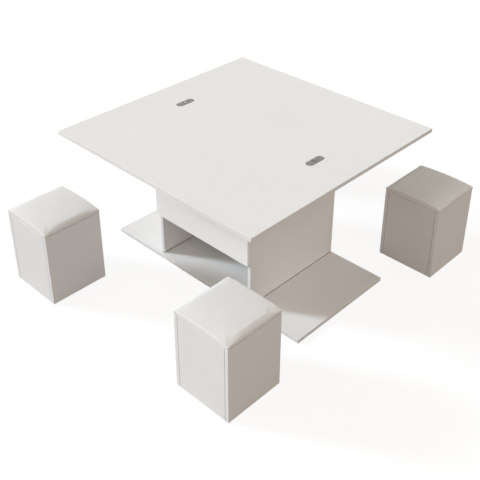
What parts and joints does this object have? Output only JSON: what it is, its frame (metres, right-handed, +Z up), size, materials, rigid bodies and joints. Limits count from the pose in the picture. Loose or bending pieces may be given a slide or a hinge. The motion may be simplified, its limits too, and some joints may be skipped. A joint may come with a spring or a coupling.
{
  "type": "folding dining table with stools",
  "caption": "Square two-leaf folding dining table on a drawer and shelf body with a wide base board, with padded box stools.",
  "frame": {"origin": "middle of the base board's underside, on the floor under the hinge seam of the table top", "axes": "+Z up; +Y from the drawer side towards the rear leaf; +X to the right for someone who faces the drawers"},
  "size_m": [1.451, 1.6936, 0.7025],
  "materials": {
    "white_board": "satin white lacquer on 18 mm board",
    "drawer_board": "plain matt drawer board",
    "plywood": "raw plywood",
    "leatherette": "fine-grained off-white leatherette",
    "nickel": "satin nickel plate",
    "rail_steel": "zinc plated"
  },
  "bodies": {
    "base": {"base_board": "white_board", "left_side_panel": "white_board", "right_side_panel": "white_board", "back_panel": "white_board", "drawer_deck": "white_board", "body_top_board": "white_board", "left_rail_channel": "rail_steel", "right_rail_channel": "rail_steel", "lower_drawer_left_runner_channel": "rail_steel", "lower_drawer_right_runner_channel": "rail_steel", "upper_drawer_left_runner_channel": "rail_steel", "upper_drawer_right_runner_channel": "rail_steel"},
    "front_leaf": {"front_leaf_board": "white_board", "left_rail_bar": "rail_steel", "right_rail_bar": "rail_steel", "left_hinge_front_plate": "nickel", "right_hinge_front_plate": "nickel", "left_hinge_pin": "nickel", "right_hinge_pin": "nickel"},
    "rear_leaf": {"rear_leaf_board": "white_board", "left_hinge_rear_plate": "nickel", "right_hinge_rear_plate": "nickel"},
    "lower_drawer": {"lower_drawer_front": "white_board", "lower_drawer_left_side": "drawer_board", "lower_drawer_right_side": "drawer_board", "lower_drawer_back": "drawer_board", "lower_drawer_floor": "drawer_board", "lower_drawer_left_runner_bar": "rail_steel", "lower_drawer_right_runner_bar": "rail_steel"},
    "upper_drawer": {"upper_drawer_front": "white_board", "upper_drawer_left_side": "drawer_board", "upper_drawer_right_side": "drawer_board", "upper_drawer_back": "drawer_board", "upper_drawer_floor": "drawer_board", "upper_drawer_left_runner_bar": "rail_steel", "upper_drawer_right_runner_bar": "rail_steel"},
    "left_stool": {"left_stool_left_panel": "white_board", "left_stool_right_panel": "white_board", "left_stool_front_panel": "white_board", "left_stool_back_panel": "white_board", "left_stool_seat_board": "plywood", "left_stool_cushion": "leatherette"},
    "front_stool": {"front_stool_left_panel": "white_board", "front_stool_right_panel": "white_board", "front_stool_front_panel": "white_board", "front_stool_back_panel": "white_board", "front_stool_seat_board": "plywood", "front_stool_cushion": "leatherette"},
    "right_stool": {"right_stool_left_panel": "white_board", "right_stool_right_panel": "white_board", "right_stool_front_panel": "white_board", "right_stool_back_panel": "white_board", "right_stool_seat_board": "plywood", "right_stool_cushion": "leatherette"},
    "rear_stool": {"rear_stool_left_panel": "white_board", "rear_stool_right_panel": "white_board", "rear_stool_front_panel": "white_board", "rear_stool_back_panel": "white_board", "rear_stool_seat_board": "plywood", "rear_stool_cushion": "leatherette"}
  },
  "joints": [
    {"name": "top_slide", "type": "slide", "parent": "base", "child": "front_leaf", "axis": [0, 1, 0], "range_m": [0, 0.3]},
    {"name": "leaf_fold", "type": "hinge", "parent": "front_leaf", "child": "rear_leaf", "pos_m": [0, 0, 0.7003], "axis": [1, 0, 0], "range_deg": [0, 180]},
    {"name": "lower_drawer_slide", "type": "slide", "parent": "base", "child": "lower_drawer", "axis": [0, -1, 0], "range_m": [0, 0.4]},
    {"name": "upper_drawer_slide", "type": "slide", "parent": "base", "child": "upper_drawer", "axis": [0, -1, 0], "range_m": [0, 0.4]},
    {"name": "left_stool_slide", "type": "slide", "parent": "base", "child": "left_stool", "axis": [0, 1, 0], "range_m": [-0.3, 0.28]},
    {"name": "front_stool_slide", "type": "slide", "parent": "base", "child": "front_stool", "axis": [0, 1, 0], "range_m": [-0.3, 0.22]},
    {"name": "right_stool_slide", "type": "slide", "parent": "base", "child": "right_stool", "axis": [0, -1, 0], "range_m": [-0.3, 0.175]},
    {"name": "rear_stool_slide", "type": "slide", "parent": "base", "child": "rear_stool", "axis": [0, -1, 0], "range_m": [-0.3, 0.22]}
  ]
}
